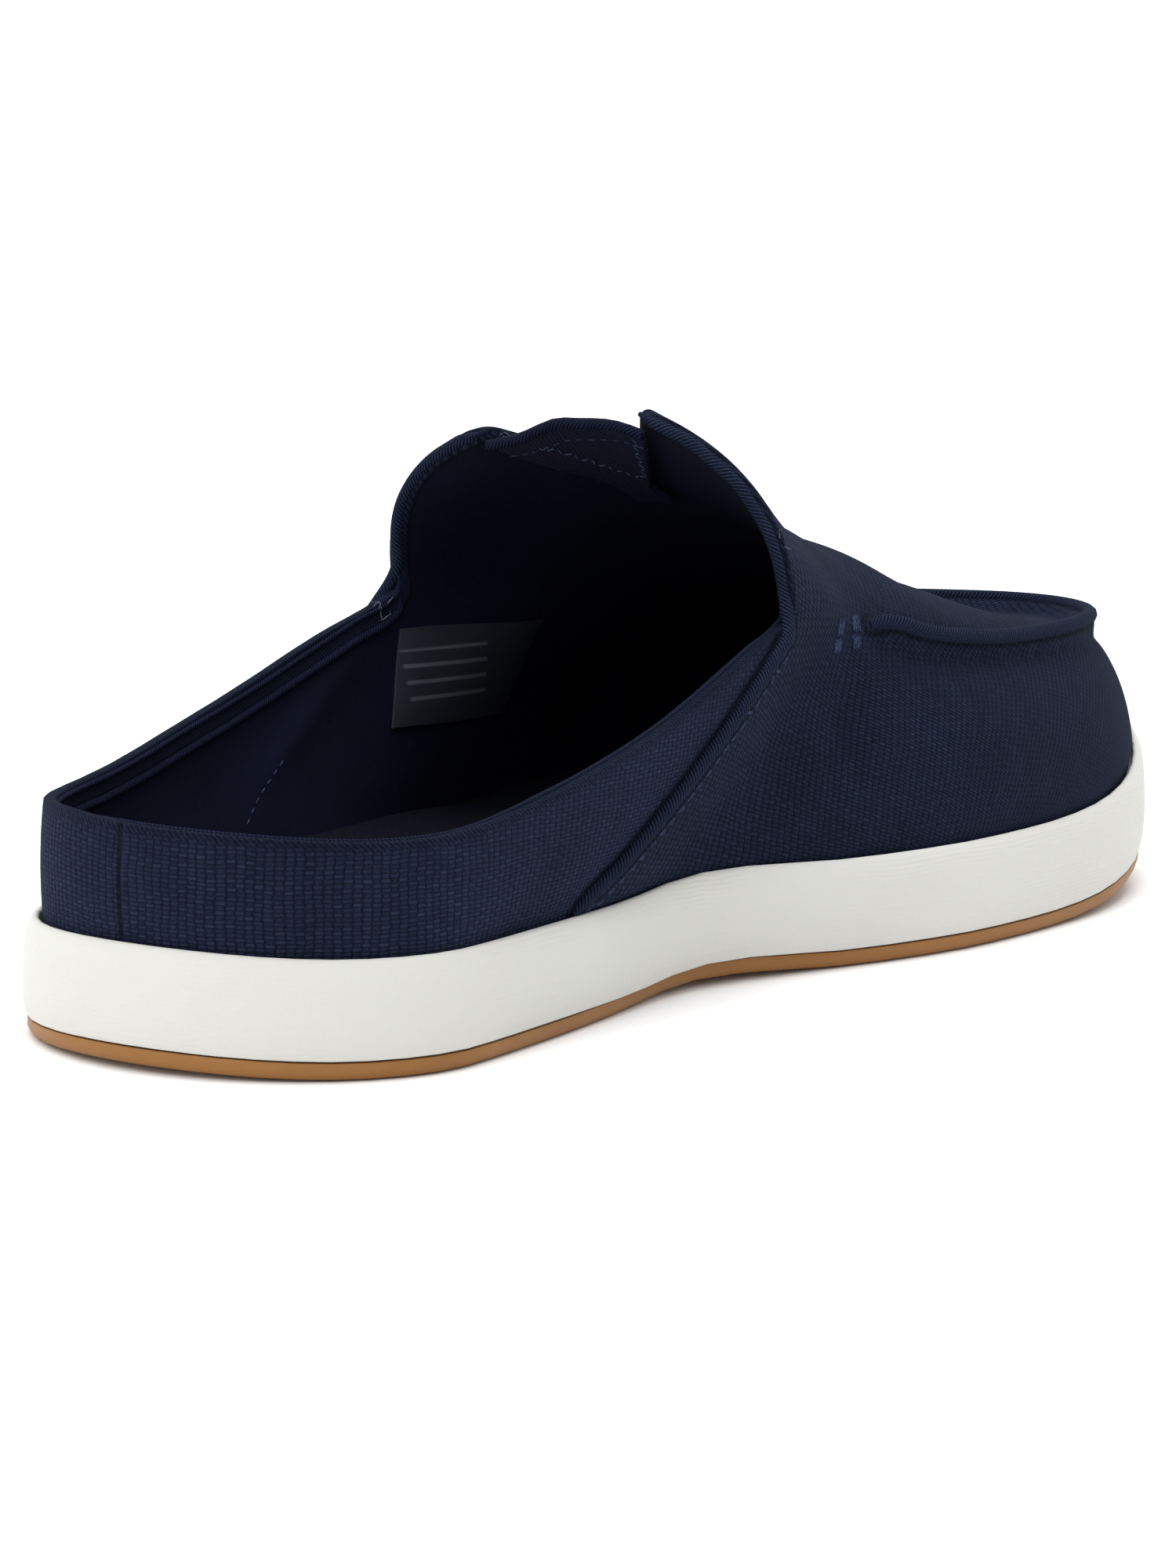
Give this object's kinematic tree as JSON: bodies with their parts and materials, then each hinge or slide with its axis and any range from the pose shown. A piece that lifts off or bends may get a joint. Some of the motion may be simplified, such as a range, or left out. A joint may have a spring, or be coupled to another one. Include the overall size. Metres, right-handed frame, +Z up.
{
  "type": "sneaker mule",
  "caption": "Left-foot slip-on sneaker mule: low open heel, hollow canvas upper with moc toe and V notch over an elastic gore, foam midsole, gum outsole.",
  "frame": {"origin": "centre of the sole's box seen from above, on the floor", "axes": "+X from heel to toe, +Y to the outer side of the foot, +Z up"},
  "size_m": [0.293, 0.1091, 0.0985],
  "materials": {
    "outsole": "satin gum rubber",
    "midsole": "matte moulded foam",
    "insole": "matte knitted cover",
    "upper": "coarse plain-weave canvas",
    "gore": "ribbed elastic webbing",
    "size_label": "smooth satin tape"
  },
  "bodies": {
    "root": {"outsole": "outsole", "midsole": "midsole", "insole": "insole", "upper": "upper", "gore": "gore", "size_label": "size_label"}
  },
  "joints": []
}
